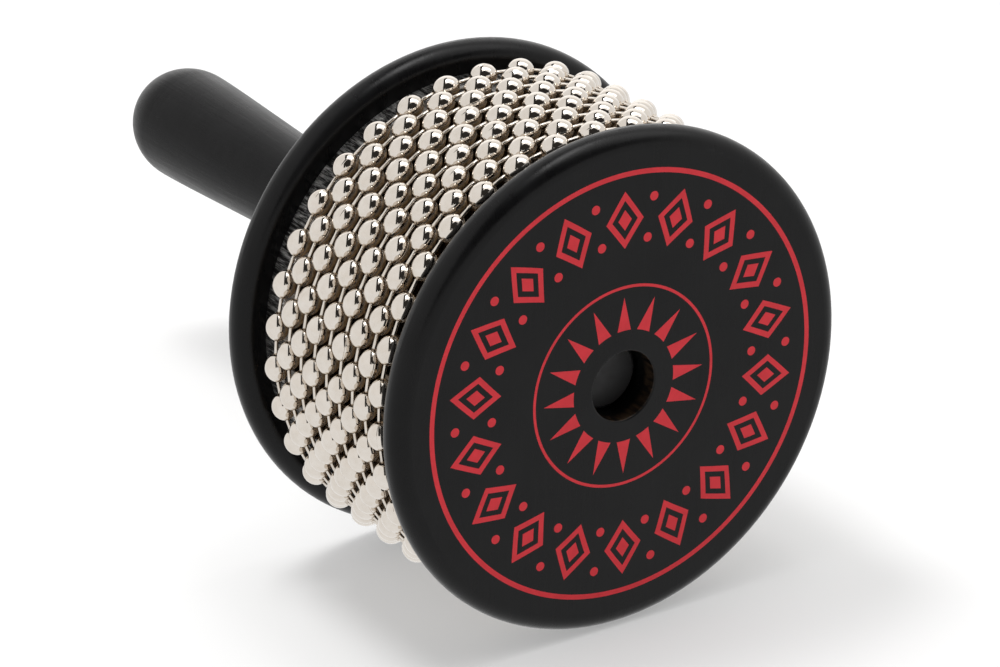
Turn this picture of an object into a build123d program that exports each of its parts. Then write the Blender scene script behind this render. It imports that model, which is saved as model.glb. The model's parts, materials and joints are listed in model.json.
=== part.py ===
from build123d import *
import os
from math import cos, pi, radians, sin, tan

# A cabasa: closed loops of bead chain lie round a steel-sleeved wooden drum, between two discs,
# and a turned handle carries the drum on a spindle. All sizes are in millimetres.
# The drum's axis runs along Y, with the front disc at -Y and the handle at +Y.
# The instrument lies on the rims of its discs, which touch the ground at Z = 0.

# Bead chain: lemon-shaped beads on short runs of wire
bead_diameter = 5.6
bead_length = 6.6
bead_end_diameter = 1.8
bead_shoulder = 3.66
link_diameter = 0.9
link_span = 3.4
link_clearance = 0.02

# Jacket: loops side by side round the drum, nested together and pushed up to the front disc
loop_count = 9
loop_pitch = 5.52
front_play = 1.6
back_play = 7.24
bead_clearance = 0.3
first_bead_angle = 79.9

# Drum and discs
sleeve_diameter = 106.6
sleeve_wall = 0.6
sleeve_fit = 0.05
disc_lip = 0.8
disc_thickness = 8.2
rim_flat = 0.2
front_hole_diameter = 16.6
hole_round = 0.5

# Spindle and handle
spindle_diameter = 16.0
spindle_stand = 0.7
spindle_fit = 0.05
spindle_chamfer = 0.4
tenon_diameter = 12.0
tenon_length = 38.0
tenon_end_room = 0.5
handle_length = 136.0
neck_diameter = 20.4
neck_run = 45.0
grip_diameter = 28.6
grip_run = 14.0
butt_length = 16.4

# Pull of a curve's inner points that draws a quarter of an ellipse
quarter_pull = 0.5523

# Radii that follow from those sizes
bead_radius = bead_diameter / 2
bead_pull_radius = (2 * bead_diameter - bead_end_diameter / 2) / 3
bead_circle_radius = sleeve_diameter / 2 + bead_clearance + bead_radius
disc_radius = bead_circle_radius + bead_radius + disc_lip
rim_round = (disc_thickness - rim_flat) / 2
core_radius = sleeve_diameter / 2 - sleeve_wall - sleeve_fit
spindle_bore_radius = spindle_diameter / 2 + spindle_fit
tenon_bore_radius = tenon_diameter / 2 + spindle_fit

# Places along the axis, with the origin under the middle of the whole length
drum_length = front_play + bead_diameter + (loop_count - 1) * loop_pitch + back_play
front_face_y = -(2 * disc_thickness + drum_length + handle_length) / 2
drum_start_y = front_face_y + disc_thickness
drum_end_y = drum_start_y + drum_length
handle_start_y = drum_end_y + disc_thickness
grip_end_y = handle_start_y + handle_length - butt_length
first_loop_y = drum_start_y + front_play + bead_radius

# Chain round one loop: as many beads as fit, and wires that reach from bead end to bead end
beads_per_loop = int(2 * pi * bead_circle_radius / (bead_length + link_span))
bead_step = 360 / beads_per_loop
half_step = radians(bead_step / 2)
link_circle_radius = bead_circle_radius * cos(half_step) + bead_length / 2 * sin(half_step)
bead_end_reach = bead_circle_radius * sin(half_step) - bead_length / 2 * cos(half_step)
link_length = 2 * (bead_end_reach - link_diameter / 2 * tan(half_step) - link_clearance)

# Turned pieces are drawn in a plane through the drum's axis, with X as the radius
axial_plane = Plane.XY.offset(disc_radius)
drum_axis = Axis((0, 0, disc_radius), (0, 1, 0))

os.makedirs("parts", exist_ok=True)

# Front disc: rounded rim and an open hole in the middle, at whose foot the spindle shows
with BuildPart() as front_disc:
    with BuildSketch(axial_plane) as front_section:
        with Locations((front_hole_diameter / 2, front_face_y)):
            Rectangle(disc_radius - front_hole_diameter / 2, disc_thickness, align=Align.MIN)
        fillet(front_section.vertices().group_by(Axis.X)[-1], rim_round)
        fillet(front_section.vertices().group_by(Axis.X)[0].sort_by(Axis.Y)[0], hole_round)
    revolve(axis=drum_axis)
front_disc.part.label = "front_disc"
export_step(front_disc.part, "parts/front_disc.step")

# Back disc: the same rim, bored for the spindle
with BuildPart() as back_disc:
    with BuildSketch(axial_plane) as back_section:
        with Locations((spindle_bore_radius, drum_end_y)):
            Rectangle(disc_radius - spindle_bore_radius, disc_thickness, align=Align.MIN)
        fillet(back_section.vertices().group_by(Axis.X)[-1], rim_round)
    revolve(axis=drum_axis)
back_disc.part.label = "back_disc"
export_step(back_disc.part, "parts/back_disc.step")

# Drum core: a solid wooden roll between the discs, bored for the spindle
with BuildPart() as drum_core:
    with BuildSketch(axial_plane):
        with Locations((spindle_bore_radius, drum_start_y)):
            Rectangle(core_radius - spindle_bore_radius, drum_length, align=Align.MIN)
    revolve(axis=drum_axis)
drum_core.part.label = "drum_core"
export_step(drum_core.part, "parts/drum_core.step")

# Drum sleeve: sheet steel rolled round the core, which the beads rub on
with BuildPart() as drum_sleeve:
    with BuildSketch(axial_plane):
        with Locations((core_radius + sleeve_fit, drum_start_y)):
            Rectangle(sleeve_wall, drum_length, align=Align.MIN)
    revolve(axis=drum_axis)
drum_sleeve.part.label = "drum_sleeve"
export_step(drum_sleeve.part, "parts/drum_sleeve.step")

# Handle spindle: a dowel right through the drum, with a tenon that the handle is glued to
with BuildPart() as handle_spindle:
    with BuildSketch(axial_plane) as spindle_section:
        with Locations((0, drum_start_y - spindle_stand)):
            Rectangle(spindle_diameter / 2, handle_start_y - drum_start_y + spindle_stand, align=Align.MIN)
        chamfer(spindle_section.vertices().group_by(Axis.X)[-1].sort_by(Axis.Y)[0], spindle_chamfer)
        with Locations((0, handle_start_y)):
            Rectangle(tenon_diameter / 2, tenon_length, align=Align.MIN)
    revolve(axis=drum_axis)
handle_spindle.part.label = "handle_spindle"
export_step(handle_spindle.part, "parts/handle_spindle.step")

# Handle grip: a slim neck that swells towards a rounded butt, with a socket for the tenon
with BuildPart() as handle_grip:
    with BuildSketch(axial_plane):
        with BuildLine():
            Polyline((0, grip_end_y + butt_length), (0, handle_start_y), (neck_diameter / 2, handle_start_y))
            Bezier(
                (neck_diameter / 2, handle_start_y),
                (neck_diameter / 2, handle_start_y + neck_run),
                (grip_diameter / 2, grip_end_y - grip_run),
                (grip_diameter / 2, grip_end_y),
            )
            Bezier(
                (grip_diameter / 2, grip_end_y),
                (grip_diameter / 2, grip_end_y + quarter_pull * butt_length),
                (quarter_pull * grip_diameter / 2, grip_end_y + butt_length),
                (0, grip_end_y + butt_length),
            )
        make_face()
        with Locations((0, handle_start_y)):
            Rectangle(tenon_bore_radius, tenon_length + tenon_end_room, align=Align.MIN, mode=Mode.SUBTRACT)
    revolve(axis=drum_axis)
handle_grip.part.label = "handle_grip"
export_step(handle_grip.part, "parts/handle_grip.step")

# One bead, turned about its chain's run, with a small flat where the wire goes in at each end
with BuildPart() as bead:
    with BuildSketch():
        with BuildLine():
            Polyline(
                (bead_end_diameter / 2, -bead_length / 2),
                (0, -bead_length / 2),
                (0, bead_length / 2),
                (bead_end_diameter / 2, bead_length / 2),
            )
            Bezier(
                (bead_end_diameter / 2, bead_length / 2),
                (bead_pull_radius, bead_shoulder / 2),
                (bead_pull_radius, -bead_shoulder / 2),
                (bead_end_diameter / 2, -bead_length / 2),
            )
        make_face()
    revolve(axis=Axis.Y)

# Loops of chain: beads all round, a wire link in each gap, and each loop half a step from the last
for loop in range(loop_count):
    loop_plane = Plane((0, first_loop_y + loop * loop_pitch, disc_radius), x_dir=(1, 0, 0), z_dir=(0, -1, 0))
    bead_angle = first_bead_angle + loop % 2 * bead_step / 2
    loop_name = f"loop_{loop + 1}"

    with BuildPart(loop_plane) as loop_beads:
        with PolarLocations(bead_circle_radius, beads_per_loop, bead_angle):
            add(bead.part)
    loop_beads.part.label = f"{loop_name}_beads"
    export_step(loop_beads.part, f"parts/{loop_name}_beads.step")

    with BuildPart(loop_plane) as loop_links:
        with PolarLocations(link_circle_radius, beads_per_loop, bead_angle + bead_step / 2):
            Cylinder(link_diameter / 2, link_length, rotation=(90, 0, 0))
    loop_links.part.label = f"{loop_name}_links"
    export_step(loop_links.part, f"parts/{loop_name}_links.step")
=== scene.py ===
import json
from math import asin, cos, pi, radians, sin

import bpy
import numpy as np
from mathutils import Matrix, Vector

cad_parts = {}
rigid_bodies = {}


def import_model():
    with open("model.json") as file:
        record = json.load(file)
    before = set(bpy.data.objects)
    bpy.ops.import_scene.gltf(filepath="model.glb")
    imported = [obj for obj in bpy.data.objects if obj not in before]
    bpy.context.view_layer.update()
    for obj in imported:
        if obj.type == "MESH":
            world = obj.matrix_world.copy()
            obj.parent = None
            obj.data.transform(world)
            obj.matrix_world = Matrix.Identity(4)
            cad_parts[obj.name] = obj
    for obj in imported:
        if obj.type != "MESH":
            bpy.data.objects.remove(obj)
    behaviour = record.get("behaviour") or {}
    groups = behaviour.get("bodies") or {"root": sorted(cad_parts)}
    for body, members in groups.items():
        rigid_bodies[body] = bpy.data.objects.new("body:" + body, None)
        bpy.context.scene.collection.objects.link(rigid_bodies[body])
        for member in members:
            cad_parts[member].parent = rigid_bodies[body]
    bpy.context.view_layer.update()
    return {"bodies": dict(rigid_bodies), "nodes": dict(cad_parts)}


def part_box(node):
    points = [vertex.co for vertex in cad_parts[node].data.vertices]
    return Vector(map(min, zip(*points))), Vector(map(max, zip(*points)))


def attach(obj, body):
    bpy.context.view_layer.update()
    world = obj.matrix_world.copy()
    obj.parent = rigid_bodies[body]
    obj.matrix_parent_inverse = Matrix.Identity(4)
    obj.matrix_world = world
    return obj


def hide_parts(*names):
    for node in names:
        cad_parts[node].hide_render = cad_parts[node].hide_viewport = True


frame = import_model()

# A cabasa on a white floor. The discs, sleeve, spindle and handle are the frame's own nodes with fuller
# finishes, and each loop of chain gets bored beads with a rolled seam, strung on drawn wires.
# All lengths are in metres.

# Places that come from the frame
front_low, front_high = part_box("front_disc")
axis_height = (front_low.z + front_high.z) / 2
front_middle = Vector((0, front_low.y, axis_height))
drum_middle = (front_middle + Vector((0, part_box("back_disc")[1].y, axis_height))) / 2
loop_names = [name for name in frame["bodies"] if name.startswith("loop_")]
jacket_end = max(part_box(f"{name}_beads")[1].y for name in loop_names)

# Camera, at the photograph's viewing angle
camera_azimuth = radians(-33.154)
camera_elevation = radians(23.678)
camera_roll = radians(0.196)
camera_from_front = Vector((-0.53837, -0.77369, 0.42610))
camera_lens = 166.65
camera_sensor = 36.0
camera_level = Vector((cos(camera_azimuth), sin(camera_azimuth), 0))

# Bead shells
bore_radius = 0.00058
lip_flat = 0.00010
lip_round = 0.00008
lip_depth = 0.0004
seam_half_width = 0.00010
seam_depth = 0.00012
seam_share = 0.9
side_rings = 17
plain_columns = 28
bead_gap = radians(1.0)

# Small unevenness of the strung chain
string_seed = 7
axial_stray = 0.00010
radial_stray = 0.00006

# Plate of the beads and wires: ripples to the metre of its smears and grain, their contrast, and roughness
plate_smears = 420.0
plate_grain = 5200.0
plate_grain_depth = 0.000004
smear_range = (0.3, 0.7)
dull_range = (0.35, 0.75)
bead_rough = (0.05, 0.11)
wire_rough = (0.14, 0.24)

# Side of the beads that rides on the sleeve, with a painted brown reflection of the sleeve on a duller, less
# metallic plate: places out from the circle of their middles where it is full and where it ends, how ragged
# that end is, and how the painted tone and the plate there differ from the plate elsewhere
sleeve_side_full = -0.0007
sleeve_side_none = 0.0003
sleeve_side_break = 0.0008
sleeve_side_blotches = 1400.0
sleeve_side_range = (0.35, 0.65)
sleeve_side_roughening = 0.32
sleeve_side_metal = 0.25

# Wires between the beads
wire_columns = 16
wire_reach = 0.0006
wire_end_round = 0.00012

# Print on the front disc: radii from the axis, counts round it and the sizes of single marks
ring_inner = 0.0502
ring_outer = 0.0514
lozenge_count = 18
lozenge_circle = 0.0400
lozenge_half_width = 0.0050
lozenge_half_height = 0.0068
lozenge_frame = 0.68
lozenge_heart = 0.36
dot_radius = 0.0011
dot_circles = (0.0352, 0.0448)
fine_ring_inner = 0.0236
fine_ring_outer = 0.0243
ray_count = 16
ray_foot = 0.0135
ray_tip = 0.0215
ray_half_width = 0.0018

# Ink: its depth, its blotches to the metre and their contrast, and how much rougher than the paint it is
ink_depth = 0.0003
ink_blotches = 260.0
blotch_range = (0.35, 0.7)
ink_roughening = 0.06

# Hole in the front disc: the radius that its stained wall lies within, the depths over which painted shade
# darkens the wall to black deeper in the hole, and the wood's fibre, in ripples to the metre along X, Y and Z
hole_wall = 0.00845
hole_shade_fade = (0.0026, 0.0040)
hole_fibre = (900, 200, 900)
fibre_range = (0.42, 0.66)

# Painted wood: its grain, in ripples to the metre along X, Y and Z, the depth of that, and the paint's shine
face_grain = (500, 60, 60)
handle_grain = (700, 24, 700)
face_grain_depth = 0.00012
handle_grain_depth = 0.0003
face_shine = 0.18
handle_shine = 0.11

# Paint: its clouds and orange peel, in ripples to the metre, their contrast and depth, and its roughness
paint_clouds = 90.0
cloud_range = (0.3, 0.75)
paint_peel = 1500.0
peel_depth = 0.00003
gloss_range = (0.7, 1.3)
paint_rough = (0.24, 0.34)

# Sleeve: its scores, in ripples to the radian round the drum and to the metre along it, with their depth
# and contrast
coarse_scores = (45, 120, 1)
fine_scores = (420, 260, 1)
coarse_share = 0.6
score_depth = 0.0024
score_range = (0.48, 0.58)
polish_range = (0.35, 0.65)

# Sleeve's wear, tarnish and painted shade under the loops: how they end past the last loop, the share of the
# relief left by the wear, and its roughness
bare_fade = 0.0015
worn_relief = 0.01
worn_rough = (0.16, 0.10)
bare_roughening = 0.26

# Wood of the core and spindle: its grain and rings, in ripples to the metre along X, Y and Z, and how
# rough it is
wood_grain = (420, 26, 420)
wood_rings = (90, 8, 90)
grain_share = 0.6
wood_grain_depth = 0.0001
wood_range = (0.35, 0.65)
open_range = (0.3, 0.7)
spindle_rough = (0.45, 0.6)
core_rough = (0.5, 0.65)

# Colours, as linear values
black_deep = (0.0030, 0.0030, 0.0033, 1)
black_worn = (0.0062, 0.0062, 0.0066, 1)
print_red = (0.82, 0.046, 0.062, 1)
print_red_thin = (0.74, 0.040, 0.054, 1)
# Painted shade deep in the front disc's hole
hole_shade_black = (0.0012, 0.0012, 0.0012, 1)
spindle_black = (0.021, 0.021, 0.022, 1)
spindle_brown = (0.018, 0.017, 0.017, 1)
stain_dark = (0.0045, 0.0035, 0.0030, 1)
stain_brown = (0.040, 0.024, 0.013, 1)
nickel_pale = (0.76, 0.71, 0.65, 1)
nickel_warm = (0.70, 0.64, 0.57, 1)
# Painted reflection: brown tone of the sleeve's reflection on the beads' drum-facing side
reflection_brown_pale = (0.84, 0.61, 0.36, 1)
reflection_brown_dark = (0.40, 0.255, 0.13, 1)
wire_pale = (0.76, 0.71, 0.65, 1)
wire_warm = (0.66, 0.60, 0.53, 1)
steel_pale = (0.96, 0.95, 0.93, 1)
steel_dark = (0.030, 0.029, 0.028, 1)
# Tarnish and painted shade on the sleeve under the loops, where the beads shade it
tarnish_and_shade_pale = (0.17, 0.14, 0.11, 1)
tarnish_and_shade_dark = (0.035, 0.030, 0.025, 1)
wood_pale = (0.52, 0.36, 0.21, 1)
wood_dark = (0.33, 0.20, 0.11, 1)
floor_pale = (0.50, 0.50, 0.50, 1)
studio_white = (0.94, 0.93, 0.92, 1)
studio_dark = (0.030, 0.028, 0.026, 1)
studio_bright = (1.35, 1.34, 1.33, 1)

# Studio: a white room, brighter behind, with a dark window high in front, a dark gap overhead and three
# lamps. The floor's lift is the light that it adds to its own look, near the drum and far from it.
floor_half_width = 6.0
floor_range = (0.4, 1.6)
floor_lift = (0.34, 0.60)
floor_glow = 0.94
window_direction = (0.120, -0.760, 0.639)
window_half_width = 0.64
window_half_height = 0.48
gap_normal = (0.8376, -0.5439, 0.0482)
gap_range = (-0.13, 0.11)
gap_rise = 0.2
gap_back = 0.5
back_direction = (0.55, 0.80, 0.24)
back_range = (0.72, 0.96)
key_direction = (0.143, -0.026, 0.989)
key_distance = 0.8
key_width = 0.20
key_height = 0.30
key_radiance = 6.0
panel_direction = (0.410, -0.208, 0.888)
panel_distance = 1.2
panel_width = 1.2
panel_height = 0.75
panel_radiance = 1.2
side_direction = (-0.180, 0.280, 0.943)
side_distance = 1.0
side_width = 0.30
side_height = 0.30
side_radiance = 24.0

# Places of the colour sockets on a Mix node
mix_first = 6
mix_second = 7
mix_result = 2


# Shader helpers

def put(tree, socket, value):
    """Links a socket to another, or sets its value."""
    if isinstance(value, bpy.types.NodeSocket):
        tree.links.new(value, socket)
    else:
        socket.default_value = value


def add(tree, kind, inputs=None, **settings):
    """Adds a shader node. Settings are its options, and inputs what goes into its sockets."""
    node = tree.nodes.new("ShaderNode" + kind)
    for name, value in settings.items():
        setattr(node, name, value)
    for name, value in (inputs or {}).items():
        put(tree, node.inputs[name], value)
    return node


def calc(tree, operation, *values):
    """A Math node on numbers or sockets."""
    return add(tree, "Math", dict(enumerate(values)), operation=operation).outputs[0]


def stretched(tree, vector, stretch):
    return add(tree, "Mapping", {"Vector": vector, "Scale": stretch}).outputs["Vector"]


def object_place(tree):
    return add(tree, "TexCoord").outputs["Object"]


def noise(tree, vector, scale=1.0, detail=3.0, roughness=0.55):
    inputs = {"Vector": vector, "Scale": scale, "Detail": detail, "Roughness": roughness}
    return add(tree, "TexNoise", inputs).outputs["Fac"]


def spread(tree, value, low, high, to_low, to_high):
    """The value moved from one range to another, and held within it."""
    inputs = {"Value": value, "From Min": low, "From Max": high, "To Min": to_low, "To Max": to_high}
    return add(tree, "MapRange", inputs).outputs["Result"]


def part_way(tree, value, low, high):
    """How far the value has come from low to high, from 0 to 1."""
    return spread(tree, value, low, high, 0.0, 1.0)


def mix_colour(tree, share, first, second):
    inputs = {0: share, mix_first: first, mix_second: second}
    return add(tree, "Mix", inputs, data_type="RGBA").outputs[mix_result]


def blend(tree, share, first, second):
    """A fixed share of the first value, and the rest of the second."""
    return calc(tree, "MULTIPLY_ADD", second, 1 - share, calc(tree, "MULTIPLY", first, share))


def bump(tree, height, depth, strength, normal=None):
    node = add(tree, "Bump", {"Height": height, "Distance": depth, "Strength": strength})
    if normal is not None:
        put(tree, node.inputs["Normal"], normal)
    return node.outputs["Normal"]


def new_material(name):
    material = bpy.data.materials.new(name)
    material.use_nodes = True
    tree = material.node_tree
    return material, tree, tree.nodes["Principled BSDF"]


def feed(tree, shader, inputs):
    for name, value in inputs.items():
        put(tree, shader.inputs[name], value)


def dot_with(tree, vector, direction):
    return add(tree, "VectorMath", {0: vector, 1: direction}, operation="DOT_PRODUCT").outputs["Value"]


def hypotenuse(tree, first, second):
    squares = calc(tree, "ADD", calc(tree, "POWER", first, 2.0), calc(tree, "POWER", second, 2.0))
    return calc(tree, "SQRT", squares)


def polar(tree):
    """Radius from the drum's axis, angle round it and place along it."""
    parts = add(tree, "SeparateXYZ", {"Vector": object_place(tree)})
    height = calc(tree, "SUBTRACT", parts.outputs["Z"], axis_height)
    radius = hypotenuse(tree, parts.outputs["X"], height)
    angle = calc(tree, "ARCTAN2", parts.outputs["X"], height)
    return radius, angle, parts.outputs["Y"]


# Print: a plain ring line, a ring of nested lozenges with dots between, and rays round the hole

def within(tree, value, low, high):
    """1 where the value lies between two limits."""
    above = calc(tree, "GREATER_THAN", value, low)
    return calc(tree, "MULTIPLY", above, calc(tree, "LESS_THAN", value, high))


def from_sector(tree, radius, angle, copies, shift):
    """Distance along the arc from the middle of the nearest of several equal sectors."""
    turns = calc(tree, "MULTIPLY_ADD", angle, copies / (2 * pi), shift)
    local = calc(tree, "SUBTRACT", calc(tree, "FRACT", turns), 0.5)
    return calc(tree, "MULTIPLY", calc(tree, "MULTIPLY", local, 2 * pi / copies), radius)


def lozenges(tree, radius, angle):
    across = from_sector(tree, radius, angle, lozenge_count, 0.5)
    rise = calc(tree, "SUBTRACT", radius, lozenge_circle)
    wide = calc(tree, "DIVIDE", calc(tree, "ABSOLUTE", across), lozenge_half_width)
    tall = calc(tree, "DIVIDE", calc(tree, "ABSOLUTE", rise), lozenge_half_height)
    size = calc(tree, "ADD", wide, tall)
    heart = calc(tree, "LESS_THAN", size, lozenge_heart)
    return calc(tree, "ADD", within(tree, size, lozenge_frame, 1.0), heart)


def dots(tree, radius, angle, circle):
    across = from_sector(tree, radius, angle, lozenge_count, 0.0)
    rise = calc(tree, "SUBTRACT", radius, circle)
    return calc(tree, "LESS_THAN", hypotenuse(tree, across, rise), dot_radius)


def rays(tree, radius, angle):
    across = calc(tree, "ABSOLUTE", from_sector(tree, radius, angle, ray_count, 0.5))
    taper = spread(tree, radius, ray_foot, ray_tip, ray_half_width, 0.0)
    narrow = calc(tree, "LESS_THAN", across, taper)
    return calc(tree, "MULTIPLY", narrow, within(tree, radius, ray_foot, ray_tip))


def print_mask(tree, radius, angle, along):
    """1 on the ink of the front face, 0 elsewhere."""
    marks = [
        within(tree, radius, ring_inner, ring_outer),
        within(tree, radius, fine_ring_inner, fine_ring_outer),
        lozenges(tree, radius, angle),
        rays(tree, radius, angle),
    ]
    for circle in dot_circles:
        marks.append(dots(tree, radius, angle, circle))
    mask = marks[0]
    for mark in marks[1:]:
        mask = calc(tree, "MAXIMUM", mask, mark)
    on_face = calc(tree, "LESS_THAN", along, front_low.y + ink_depth)
    return calc(tree, "MULTIPLY", mask, on_face)


# Finishes

def lacquer(name, grain, grain_depth, shine):
    """Satin black paint over turned wood, whose grain still shows as a faint relief."""
    material, tree, shader = new_material(name)
    place = object_place(tree)
    cloud = noise(tree, place, paint_clouds, detail=4.0)
    peel = noise(tree, place, paint_peel, detail=2.0)
    pores = noise(tree, stretched(tree, place, grain), detail=4.0, roughness=0.6)
    colour = mix_colour(tree, part_way(tree, cloud, *cloud_range), black_deep, black_worn)
    rough = spread(tree, calc(tree, "ADD", cloud, pores), *gloss_range, *paint_rough)
    relief = bump(tree, pores, grain_depth, strength=0.35)
    relief = bump(tree, peel, peel_depth, strength=0.4, normal=relief)
    feed(tree, shader, {"Base Color": colour, "Roughness": rough, "Normal": relief})
    feed(tree, shader, {"Specular IOR Level": shine})
    return material


def printed_lacquer():
    """The front disc: black lacquer, red ink on its face and stained wood in its hole, with painted shade
    turning the wall black deeper in.
    """
    material = lacquer("black_lacquer_printed", face_grain, face_grain_depth, face_shine)
    tree = material.node_tree
    shader = tree.nodes["Principled BSDF"]
    paint = shader.inputs["Base Color"].links[0].from_socket
    rough = shader.inputs["Roughness"].links[0].from_socket
    place = object_place(tree)
    radius, angle, along = polar(tree)
    ink = print_mask(tree, radius, angle, along)
    blotch = noise(tree, place, ink_blotches, detail=4.0)
    red = mix_colour(tree, part_way(tree, blotch, *blotch_range), print_red, print_red_thin)
    fibre = noise(tree, stretched(tree, place, hole_fibre), detail=4.0)
    wall_stain_and_shade = mix_colour(tree, part_way(tree, fibre, *fibre_range), stain_dark, stain_brown)
    # Painted shade: deeper in the hole the wall's colour goes to black
    near, far = hole_shade_fade
    depth = part_way(tree, along, front_low.y + near, front_low.y + far)
    wall_stain_and_shade = mix_colour(tree, depth, wall_stain_and_shade, hole_shade_black)
    in_hole = calc(tree, "LESS_THAN", radius, hole_wall)
    colour = mix_colour(tree, in_hole, mix_colour(tree, ink, paint, red), wall_stain_and_shade)
    rough = calc(tree, "MULTIPLY_ADD", ink, ink_roughening, rough)
    feed(tree, shader, {"Base Color": colour, "Roughness": rough})
    return material


def plated(name, pale, warm, rough_range):
    """Bright warm nickel plate, with faint handling marks."""
    material, tree, shader = new_material(name)
    place = object_place(tree)
    smear = noise(tree, place, plate_smears, detail=4.0)
    grain = noise(tree, place, plate_grain, detail=2.0)
    colour = mix_colour(tree, part_way(tree, smear, *smear_range), pale, warm)
    rough = spread(tree, smear, *dull_range, *rough_range)
    relief = bump(tree, grain, plate_grain_depth, strength=0.5)
    feed(tree, shader, {"Base Color": colour, "Roughness": rough, "Normal": relief, "Metallic": 1.0})
    return material


def nickel_with_painted_reflection(circle):
    """The beads' plate, with a painted brown reflection of the sleeve on the side that rides on the sleeve,
    where the plate is also duller and less metallic.
    """
    material = plated("nickel_bead", nickel_pale, nickel_warm, bead_rough)
    tree = material.node_tree
    shader = tree.nodes["Principled BSDF"]
    plate = shader.inputs["Base Color"].links[0].from_socket
    rough = shader.inputs["Roughness"].links[0].from_socket
    radius, angle, along = polar(tree)
    sleeve_side_blotch = noise(tree, object_place(tree), sleeve_side_blotches)
    ragged = calc(tree, "MULTIPLY_ADD", calc(tree, "SUBTRACT", sleeve_side_blotch, 0.5), sleeve_side_break, radius)
    sleeve_side = spread(tree, ragged, circle + sleeve_side_full, circle + sleeve_side_none, 1.0, 0.0)
    # Painted reflection: a brass-brown tone stands for the sleeve's brown reflection on the side facing it
    reflection_brown = mix_colour(tree, part_way(tree, sleeve_side_blotch, *sleeve_side_range), reflection_brown_dark, reflection_brown_pale)
    rough = calc(tree, "MULTIPLY_ADD", sleeve_side, sleeve_side_roughening, rough)
    metal = spread(tree, sleeve_side, 0.0, 1.0, 1.0, sleeve_side_metal)
    colour = mix_colour(tree, sleeve_side, plate, reflection_brown)
    feed(tree, shader, {"Base Color": colour, "Roughness": rough, "Metallic": metal})
    return material


def scored_steel():
    """Sheet steel scored along the drum, worn smooth under the loops and darkened there with tarnish and
    painted shade, and bright where bare.
    """
    material, tree, shader = new_material("textured_steel")
    radius, angle, along = polar(tree)
    sheet = add(tree, "CombineXYZ", {"X": angle, "Y": along}).outputs["Vector"]
    coarse = noise(tree, stretched(tree, sheet, coarse_scores), detail=4.0, roughness=0.65)
    fine = noise(tree, stretched(tree, sheet, fine_scores), roughness=0.6)
    score = blend(tree, coarse_share, coarse, fine)
    share = part_way(tree, score, *score_range)
    bare = part_way(tree, along, jacket_end, jacket_end + bare_fade)
    # Under the loops the sleeve's colour is darkened with tarnish and painted shade
    tarnish_and_shade = mix_colour(tree, share, tarnish_and_shade_dark, tarnish_and_shade_pale)
    colour = mix_colour(tree, bare, tarnish_and_shade, mix_colour(tree, share, steel_dark, steel_pale))
    worn_polish = spread(tree, score, *polish_range, *worn_rough)
    rough = calc(tree, "MULTIPLY_ADD", bare, bare_roughening, worn_polish)
    height = calc(tree, "MULTIPLY", score, spread(tree, bare, 0.0, 1.0, worn_relief, 1.0))
    relief = bump(tree, height, score_depth, strength=1.0)
    feed(tree, shader, {"Base Color": colour, "Roughness": rough, "Normal": relief, "Metallic": 1.0})
    return material


def turned_wood(name, pale, dark, rough_range, stain_radius):
    """Wood with its grain along the drum, stained dark within a radius from the axis."""
    material, tree, shader = new_material(name)
    place = object_place(tree)
    radius, angle, along = polar(tree)
    grain = noise(tree, stretched(tree, place, wood_grain), detail=5.0, roughness=0.6)
    rings = noise(tree, stretched(tree, place, wood_rings), detail=2.0)
    share = blend(tree, grain_share, grain, rings)
    colour = mix_colour(tree, part_way(tree, share, *wood_range), pale, dark)
    stained = calc(tree, "LESS_THAN", radius, stain_radius)
    colour = mix_colour(tree, stained, colour, stain_dark)
    rough = spread(tree, grain, *open_range, *rough_range)
    relief = bump(tree, grain, wood_grain_depth, strength=0.5)
    feed(tree, shader, {"Base Color": colour, "Roughness": rough, "Normal": relief})
    return material


# Chain: beads and wires in the places that the frame gives

def read_chain(node):
    """Where a loop's beads lie, and their sizes: the loop's Y, circle and angles, and a bead's half length,
    radius and end radius."""
    corners = np.array([vertex.co for vertex in frame["nodes"][node].data.vertices])
    middle = (corners[:, 1].min() + corners[:, 1].max()) / 2
    across = corners[:, 0]
    height = corners[:, 2] - axis_height
    angles = np.arctan2(height, across)
    order = np.argsort(angles)
    gaps = np.diff(angles[order], append=angles[order[0]] + 2 * pi)
    order = np.roll(order, -1 - np.flatnonzero(gaps > bead_gap)[0])
    turned = np.unwrap(angles[order])
    cuts = np.flatnonzero(np.diff(turned) > bead_gap) + 1
    beads = [(group[0] + group[-1]) / 2 for group in np.split(turned, cuts)]
    first = order[:cuts[0]]
    out = across[first] * cos(beads[0]) + height[first] * sin(beads[0])
    along = height[first] * cos(beads[0]) - across[first] * sin(beads[0])
    circle = (out.min() + out.max()) / 2
    half_length = np.ptp(along) / 2
    at_end = along > along.max() - lip_flat
    end_radius = np.hypot(out - circle, corners[first, 1] - middle)[at_end].max()
    return middle, circle, np.array(beads), half_length, np.ptp(corners[:, 1]) / 2, end_radius


def bead_section(half_length, radius, end_radius):
    """Points along and out from a bead's run, round its wall: over its side, then in through its bore."""
    rise = radius - end_radius
    curve = (rise ** 2 + half_length ** 2) / (2 * rise)
    reach = asin(half_length / curve)
    turns = np.linspace(-reach, reach, side_rings)
    side = [(curve * sin(turn), radius - curve * (1 - cos(turn))) for turn in turns]
    lip = [
        (half_length, end_radius - lip_flat),
        (half_length - lip_round, bore_radius + lip_round),
        (half_length - lip_depth, bore_radius),
    ]
    far_lip = [(-along, out) for along, out in reversed(lip)]
    return np.array(side + lip + far_lip)


def grid_faces(columns, rows, closed):
    """Quads over a grid of points that closes round its columns, and round its rows too if closed."""
    faces = []
    for column in range(columns):
        beside = (column + 1) % columns
        for row in range(rows if closed else rows - 1):
            above = (row + 1) % rows
            corners = ((column, row), (beside, row), (beside, above), (column, above))
            faces.append([rows * c + r for c, r in corners])
    return faces


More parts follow.
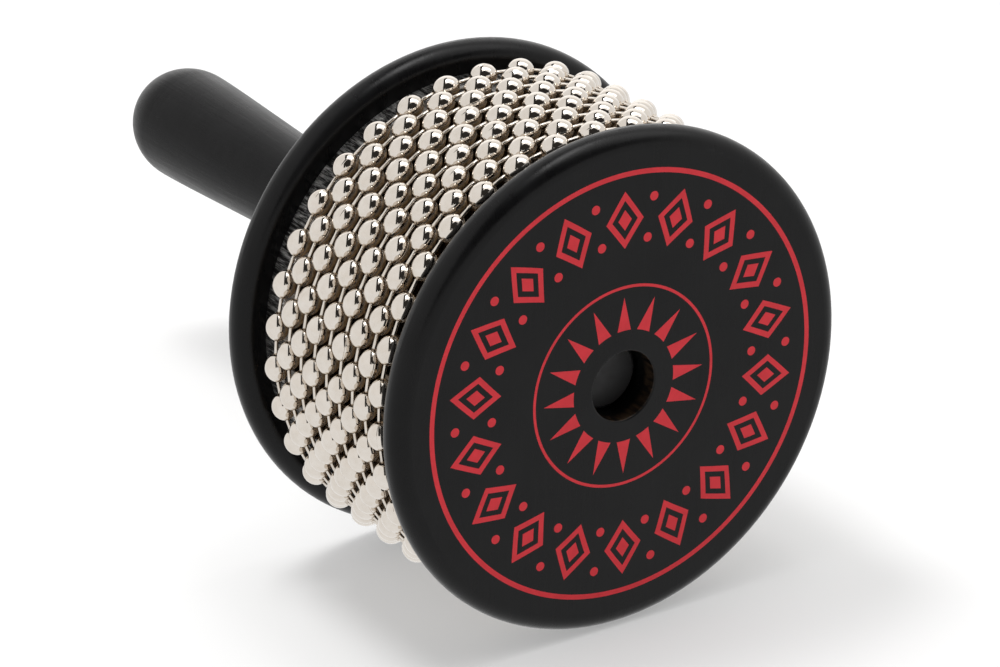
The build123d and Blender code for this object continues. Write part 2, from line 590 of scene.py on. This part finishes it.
def turned_bead(half_length, radius, end_radius):
    """One bead's points, as places along, out and axial, and its faces. Its seam is a fine groove."""
    section = bead_section(half_length, radius, end_radius)
    seam = seam_half_width / radius
    plain = np.linspace(2 * seam, 2 * pi - 2 * seam, plain_columns)
    columns = np.concatenate([[-seam, 0.0, seam], plain])
    points = []
    for column in columns:
        out = section[:, 1].copy()
        if column == 0.0:
            on_side = np.arange(len(out)) < side_rings
            on_side &= np.abs(section[:, 0]) < seam_share * half_length
            out -= seam_depth * on_side
        points.append(np.stack([section[:, 0], out * cos(column), out * sin(column)], 1))
    return np.concatenate(points), grid_faces(len(columns), len(section), True)


def turned_wire(length, radius):
    """One wire's points, as places along, out and axial, and its faces, with eased closed ends."""
    half = length / 2
    eased = radius - wire_end_round
    full = half - wire_end_round
    section = [(-half, eased), (-full, radius), (full, radius), (half, eased)]
    points = []
    for column in range(wire_columns):
        turn = 2 * pi * column / wire_columns
        points += [(along, out * cos(turn), out * sin(turn)) for along, out in section]
    rows = len(section)
    faces = grid_faces(wire_columns, rows, False)
    faces.append([rows * column for column in reversed(range(wire_columns))])
    faces.append([rows * column + rows - 1 for column in range(wire_columns)])
    return np.array(points), faces


def strung(points, faces, places):
    """Copies of a piece. Each place is its middle, the direction that it runs in and its roll about that."""
    all_points = []
    all_faces = []
    for number, (middle, run, roll) in enumerate(places):
        run = run / np.linalg.norm(run)
        axial = np.array([0.0, 1.0, 0.0])
        out = np.cross(axial, run)
        out /= np.linalg.norm(out)
        axial = np.cross(run, out)
        first = out * cos(roll) + axial * sin(roll)
        second = axial * cos(roll) - out * sin(roll)
        all_points.append(middle + points @ np.stack([run, first, second]))
        offset = number * len(points)
        all_faces += [[offset + corner for corner in face] for face in faces]
    return np.concatenate(all_points), all_faces


def new_piece(name, points, faces, material):
    mesh = bpy.data.meshes.new(name)
    mesh.from_pydata(points.tolist(), [], faces)
    mesh.shade_smooth()
    mesh.materials.append(material)
    piece = bpy.data.objects.new(name, mesh)
    bpy.context.scene.collection.objects.link(piece)
    return piece


def finish_piece(piece, loop, part):
    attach(piece, loop)
    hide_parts(f"{loop}_{part}")


def dress_loop(loop, luck, bead_finish, wire_finish):
    """Gives one loop its fine beads and wires."""
    middle, circle, angles, half_length, radius, end_radius = read_chain(f"{loop}_beads")
    wire_low, wire_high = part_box(f"{loop}_links")
    wire_radius = (wire_high.y - wire_low.y) / 2
    beads = []
    for angle in angles:
        outward = circle + luck.uniform(-radial_stray, radial_stray)
        sideways = middle + luck.uniform(-axial_stray, axial_stray)
        place = np.array([outward * cos(angle), sideways, axis_height + outward * sin(angle)])
        run = np.array([-sin(angle), 0.0, cos(angle)])
        beads.append((place, run, luck.uniform(0, 2 * pi)))
    wires = []
    for bead, next_bead in zip(beads, beads[1:] + beads[:1]):
        start = bead[0] + bead[1] * (half_length - wire_reach)
        end = next_bead[0] - next_bead[1] * (half_length - wire_reach)
        wires.append(((start + end) / 2, end - start, 0.0))
    wire_length = np.mean([np.linalg.norm(run) for place, run, roll in wires])
    shells = strung(*turned_bead(half_length, radius, end_radius), beads)
    drawn = strung(*turned_wire(wire_length, wire_radius), wires)
    finish_piece(new_piece(f"{loop}_bead_shells", *shells, bead_finish), loop, "beads")
    finish_piece(new_piece(f"{loop}_drawn_wires", *drawn, wire_finish), loop, "links")


def dress_node(node, material):
    """Gives a node of the frame its finish."""
    piece = frame["nodes"][node]
    if not piece.material_slots:
        piece.data.materials.append(material)
    for slot in piece.material_slots:
        slot.material = material


# Studio

def make_floor():
    """A pale floor that looks white, keeps the object's shadow and is white in mirrors."""
    half = floor_half_width
    corners = np.array([(-half, -half, 0), (half, -half, 0), (half, half, 0), (-half, half, 0)], float)
    material, tree, shader = new_material("floor")
    tree.nodes.remove(shader)
    matt = add(tree, "BsdfDiffuse", {"Color": floor_pale})
    parts = add(tree, "SeparateXYZ", {"Vector": object_place(tree)})
    away = hypotenuse(tree, parts.outputs["X"], parts.outputs["Y"])
    level = spread(tree, away, *floor_range, *floor_lift)
    ray = add(tree, "LightPath")
    level = calc(tree, "MULTIPLY", ray.outputs["Is Camera Ray"], level)
    lift = add(tree, "Emission", {"Strength": level})
    lit = add(tree, "AddShader", {0: matt.outputs[0], 1: lift.outputs[0]})
    mirrored = calc(tree, "MAXIMUM", ray.outputs["Is Glossy Ray"], ray.outputs["Is Transmission Ray"])
    glow = add(tree, "Emission", {"Strength": floor_glow})
    seen = add(tree, "MixShader", {0: mirrored, 1: lit.outputs[0], 2: glow.outputs[0]})
    put(tree, tree.nodes["Material Output"].inputs["Surface"], seen.outputs[0])
    new_piece("floor", corners, [[0, 1, 2, 3]], material)


def make_world():
    """A white room, brighter behind, with a dark window high in front and a dark gap overhead."""
    world = bpy.data.worlds.new("studio")
    bpy.context.scene.world = world
    world.use_nodes = True
    tree = world.node_tree
    toward = add(tree, "TexCoord").outputs["Generated"]
    ahead = Vector(window_direction).normalized()
    side = ahead.cross(Vector((0, 0, 1))).normalized()
    depth = dot_with(tree, toward, ahead)
    across = calc(tree, "DIVIDE", dot_with(tree, toward, side), depth)
    rise = calc(tree, "DIVIDE", dot_with(tree, toward, side.cross(ahead)), depth)
    window = within(tree, across, -window_half_width, window_half_width)
    window = calc(tree, "MULTIPLY", window, within(tree, rise, -window_half_height, window_half_height))
    window = calc(tree, "MULTIPLY", window, calc(tree, "GREATER_THAN", depth, 0.0))
    aside = within(tree, dot_with(tree, toward, gap_normal), *gap_range)
    overhead = calc(tree, "GREATER_THAN", dot_with(tree, toward, (0, 0, 1)), gap_rise)
    before = calc(tree, "LESS_THAN", dot_with(tree, toward, (0, 1, 0)), gap_back)
    gap = calc(tree, "MULTIPLY", aside, calc(tree, "MULTIPLY", overhead, before))
    behind = dot_with(tree, toward, Vector(back_direction).normalized())
    walls = mix_colour(tree, part_way(tree, behind, *back_range), studio_white, studio_bright)
    background = tree.nodes["Background"]
    dark = calc(tree, "MAXIMUM", window, gap)
    put(tree, background.inputs["Color"], mix_colour(tree, dark, walls, studio_dark))
    background.inputs["Strength"].default_value = 1.0


def make_softbox(name, direction, distance, width, height, radiance, mirrored):
    """A rectangular lamp over the drum, level with the camera's view, of a given brightness to look at.
    Mirrors show it only if it is mirrored."""
    lamp = bpy.data.lights.new(name, "AREA")
    lamp.shape = "RECTANGLE"
    lamp.size = width
    lamp.size_y = height
    lamp.energy = radiance * pi * width * height
    holder = bpy.data.objects.new(name, lamp)
    bpy.context.scene.collection.objects.link(holder)
    away = Vector(direction).normalized()
    side = (camera_level - away * camera_level.dot(away)).normalized()
    turn = Matrix((side, away.cross(side), away)).transposed().to_4x4()
    holder.matrix_world = Matrix.Translation(drum_middle + away * distance) @ turn
    holder.visible_camera = False
    holder.visible_glossy = mirrored


def make_camera():
    forward = Vector((
        -sin(camera_azimuth) * cos(camera_elevation),
        cos(camera_azimuth) * cos(camera_elevation),
        -sin(camera_elevation),
    ))
    down = forward.cross(camera_level)
    right = camera_level * cos(camera_roll) + down * sin(camera_roll)
    up = right.cross(forward)
    data = bpy.data.cameras.new("camera")
    data.lens = camera_lens
    data.sensor_width = camera_sensor
    camera = bpy.data.objects.new("camera", data)
    bpy.context.scene.collection.objects.link(camera)
    turn = Matrix((right, up, -forward)).transposed().to_4x4()
    camera.matrix_world = Matrix.Translation(front_middle + camera_from_front) @ turn
    bpy.context.scene.camera = camera


make_camera()
make_floor()
make_world()
make_softbox("key_lamp", key_direction, key_distance, key_width, key_height, key_radiance, True)
make_softbox("wide_panel", panel_direction, panel_distance, panel_width, panel_height, panel_radiance, True)
make_softbox("side_lamp", side_direction, side_distance, side_width, side_height, side_radiance, False)

dress_node("front_disc", printed_lacquer())
dress_node("back_disc", lacquer("black_lacquer", face_grain, face_grain_depth, face_shine))
dress_node("handle_grip", lacquer("black_lacquer_handle", handle_grain, handle_grain_depth, handle_shine))
dress_node("handle_spindle", turned_wood("stained_wood", spindle_black, spindle_brown, spindle_rough, 0.0))
dress_node("drum_core", turned_wood("bare_wood", wood_pale, wood_dark, core_rough, hole_wall))
dress_node("drum_sleeve", scored_steel())

string_luck = np.random.default_rng(string_seed)
nickel = nickel_with_painted_reflection(read_chain(f"{loop_names[0]}_beads")[1])
drawn_nickel = plated("nickel_wire", wire_pale, wire_warm, wire_rough)
for loop_name in loop_names:
    dress_loop(loop_name, string_luck, nickel, drawn_nickel)

bpy.context.scene.view_settings.view_transform = "Standard"
